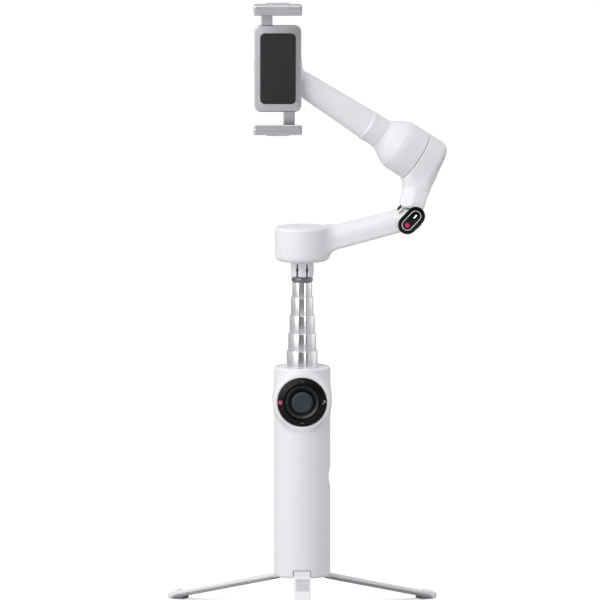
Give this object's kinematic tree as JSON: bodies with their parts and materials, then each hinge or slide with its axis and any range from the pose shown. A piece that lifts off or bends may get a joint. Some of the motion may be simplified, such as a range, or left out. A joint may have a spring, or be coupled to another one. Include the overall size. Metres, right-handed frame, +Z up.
{
  "type": "phone gimbal stabilizer",
  "caption": "Handheld phone gimbal: motorised pan, tilt and roll joints on a folding arm, spring clamp, telescoping rod, joystick handle and fold-out tripod legs",
  "frame": {"origin": "centre of the handle's bottom face, on the handle's long axis", "axes": "+Z up along the handle, -Y toward the holder and the side that shows the wheel and the phone's screen, +X to the holder's right, the side that the folding arm is on"},
  "size_m": [0.1736, 0.1455, 0.3791],
  "materials": {
    "white_shell": "fine satin",
    "silver_metal": "bead blasted",
    "polished_tube": "polished",
    "steel": "brushed",
    "black_gloss": "mirror gloss",
    "black_satin": "semi-gloss",
    "dark_plastic": "fine matt",
    "rubber_black": "matt",
    "rubber_grey": "matt",
    "circuit_board": "solder mask",
    "battery_wrap": "shrink wrap",
    "winding": "enamelled copper wire",
    "glide_plastic": "smooth",
    "red_lamp": "lit lens",
    "white_lamp": "lit lens"
  },
  "bodies": {
    "handle": {"grip_shell": "white_shell", "top_collar": "dark_plastic", "rod_sleeve": "glide_plastic", "battery_cell": "battery_wrap", "main_board": "circuit_board", "usb_c_socket": "steel", "thread_insert": "steel", "trigger_pin": "steel", "tripod_hub": "dark_plastic", "leg_pin_front": "steel", "leg_pin_left": "steel", "leg_pin_right": "steel", "control_dish": "dark_plastic"},
    "wheel": {"mode_wheel": "black_satin"},
    "stick_yoke": {"joystick_yoke": "dark_plastic"},
    "stick": {"joystick_cap": "dark_plastic"},
    "trigger_lever": {"trigger": "dark_plastic"},
    "rod_5": {"rod_section_5": "polished_tube", "rod_glide_5": "glide_plastic"},
    "rod_4": {"rod_section_4": "polished_tube", "rod_glide_4": "glide_plastic"},
    "rod_3": {"rod_section_3": "polished_tube", "rod_glide_3": "glide_plastic"},
    "rod_2": {"rod_section_2": "polished_tube", "rod_glide_2": "glide_plastic"},
    "rod_1": {"rod_section_1": "polished_tube", "rod_glide_1": "glide_plastic", "rod_head": "steel", "neck_pin": "steel"},
    "neck": {"pan_base": "white_shell", "pan_stator": "winding", "pan_bearing": "steel"},
    "pan": {"pan_housing": "white_shell", "pan_cap": "white_shell", "elbow_pin": "steel", "elbow_stop_pad": "rubber_black", "status_panel": "black_gloss", "status_trim_ring": "silver_metal", "record_lamp": "red_lamp", "level_lamp": "white_lamp"},
    "arm": {"upper_arm": "white_shell", "tilt_stator": "winding", "tilt_bearing": "steel"},
    "tilt": {"roll_arm": "white_shell", "roll_rear_cap": "white_shell", "roll_stator": "winding"},
    "clamp": {"magnetic_mount": "steel", "clamp_body": "silver_metal", "clamp_pad": "rubber_black"},
    "pinion": {"clamp_pinion": "glide_plastic"},
    "jaw_up": {"upper_jaw": "silver_metal", "upper_jaw_pad": "rubber_black"},
    "jaw_down": {"lower_jaw": "silver_metal", "lower_jaw_pad": "rubber_black"},
    "tripod_front": {"leg_front": "white_shell", "foot_front": "rubber_grey"},
    "tripod_left": {"leg_left": "white_shell", "foot_left": "rubber_grey"},
    "tripod_right": {"leg_right": "white_shell", "foot_right": "rubber_grey"}
  },
  "joints": [
    {"name": "wheel_press", "type": "slide", "parent": "handle", "child": "wheel", "axis": [0, 1, 0], "range_m": [0, 0.0006], "stiffness_N_per_m": 1200},
    {"name": "stick_up_down", "type": "hinge", "parent": "handle", "child": "stick_yoke", "pos_m": [0, -0.0146, 0.1105], "axis": [1, 0, 0], "range_deg": [-8, 8], "stiffness_Nm_per_rad": 0.03},
    {"name": "stick_left_right", "type": "hinge", "parent": "stick_yoke", "child": "stick", "pos_m": [0, -0.0146, 0.1105], "axis": [0, 0, 1], "range_deg": [-8, 8], "stiffness_Nm_per_rad": 0.03},
    {"name": "trigger_pull", "type": "hinge", "parent": "handle", "child": "trigger_lever", "pos_m": [0, 0.0124, 0.1162], "axis": [-1, 0, 0], "range_deg": [0, 8], "stiffness_Nm_per_rad": 0.06, "springref_deg": -5.73},
    {"name": "rod_5_slide", "type": "slide", "parent": "handle", "child": "rod_5", "axis": [0, 0, 1], "range_m": [-0.01, 0.032]},
    {"name": "rod_4_slide", "type": "slide", "parent": "rod_5", "child": "rod_4", "axis": [0, 0, 1], "range_m": [-0.01, 0.032]},
    {"name": "rod_3_slide", "type": "slide", "parent": "rod_4", "child": "rod_3", "axis": [0, 0, 1], "range_m": [-0.01, 0.032]},
    {"name": "rod_2_slide", "type": "slide", "parent": "rod_3", "child": "rod_2", "axis": [0, 0, 1], "range_m": [-0.01, 0.032]},
    {"name": "rod_1_slide", "type": "slide", "parent": "rod_2", "child": "rod_1", "axis": [0, 0, 1], "range_m": [-0.009, 0.032]},
    {"name": "neck_tilt", "type": "hinge", "parent": "rod_1", "child": "neck", "pos_m": [0, 0, 0.1909], "axis": [1, 0, 0], "range_deg": [-60, 0]},
    {"name": "pan_turn", "type": "hinge", "parent": "neck", "child": "pan", "pos_m": [0, 0, 0.21], "axis": [0, 0, 1], "range_deg": [-245, 115]},
    {"name": "elbow_fold", "type": "hinge", "parent": "pan", "child": "arm", "pos_m": [0.068, 0, 0.2228], "axis": [0, 1, 0], "range_deg": [0, 140]},
    {"name": "tilt_turn", "type": "hinge", "parent": "arm", "child": "tilt", "pos_m": [0.0701, 0.012, 0.2611], "axis": [0.8229, 0.1595, -0.5454], "range_deg": [-95, 95]},
    {"name": "roll_turn", "type": "hinge", "parent": "tilt", "child": "clamp", "pos_m": [-0.015, 0, 0.3175], "axis": [0, 1, 0], "range_deg": [-95, 95]},
    {"name": "jaw_up_slide", "type": "slide", "parent": "clamp", "child": "jaw_up", "axis": [0, 0, 1], "range_m": [-0.0032, 0.0068]},
    {"name": "jaw_down_slide", "type": "slide", "parent": "clamp", "child": "jaw_down", "axis": [0, 0, -1], "range_m": [-0.0032, 0.0068]},
    {"name": "pinion_turn", "type": "hinge", "parent": "clamp", "child": "pinion", "pos_m": [-0.015, 0, 0.3175], "axis": [0, 1, 0], "range_deg": [-59.6, 126.2]},
    {"name": "leg_front_fold", "type": "hinge", "parent": "handle", "child": "tripod_front", "pos_m": [0, -0.0125, 0.0027], "axis": [1, 0, 0], "range_deg": [0, 75]},
    {"name": "leg_left_fold", "type": "hinge", "parent": "handle", "child": "tripod_left", "pos_m": [-0.01082, 0.00625, 0.0027], "axis": [-0.5, -0.866, 0], "range_deg": [0, 75]},
    {"name": "leg_right_fold", "type": "hinge", "parent": "handle", "child": "tripod_right", "pos_m": [0.01082, 0.00625, 0.0027], "axis": [-0.5, 0.866, 0], "range_deg": [0, 75]}
  ],
  "couplings": [
    {"joint": "jaw_down_slide", "follows": "jaw_up_slide", "ratio": 1},
    {"joint": "pinion_turn", "follows": "jaw_up_slide", "rad_per_m": 322.58}
  ]
}
